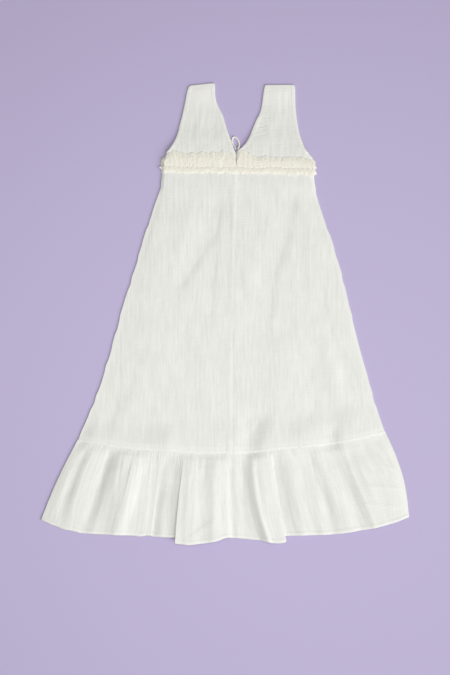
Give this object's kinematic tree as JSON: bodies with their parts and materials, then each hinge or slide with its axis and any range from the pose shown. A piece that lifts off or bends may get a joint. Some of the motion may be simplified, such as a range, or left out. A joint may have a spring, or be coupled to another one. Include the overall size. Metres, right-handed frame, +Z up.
{
  "type": "girl's sleeveless muslin dress laid flat",
  "caption": "Long sleeveless girl's dress in crinkled muslin, laid flat, with a V neck, a gathered frill round the waist, a button loop and a gathered flounce at the hem.",
  "frame": {"origin": "on the underside, in the middle of the dress's outline", "axes": "+X to the right across the dress, +Y towards the shoulders, +Z up from the surface that it lies on"},
  "size_m": [0.6442, 0.8045, 0.0141],
  "materials": {
    "muslin": "crinkled double-gauze cotton, off-white, matt",
    "frill_muslin": "gathered double-gauze cotton, creamy where it is layered, matt",
    "loop_muslin": "thin sewn tube of the same cotton"
  },
  "bodies": {
    "root": {"front_bodice_left": "muslin", "front_bodice_right": "muslin", "front_skirt": "muslin", "front_flounce": "muslin", "back_bodice_left": "muslin", "back_bodice_right": "muslin", "back_skirt_left": "muslin", "back_skirt_right": "muslin", "back_flounce": "muslin", "front_frill_upper": "frill_muslin", "front_frill_lower": "frill_muslin", "back_frill_upper_left": "frill_muslin", "back_frill_upper_right": "frill_muslin", "back_frill_lower": "frill_muslin", "button_loop": "loop_muslin"}
  },
  "joints": []
}
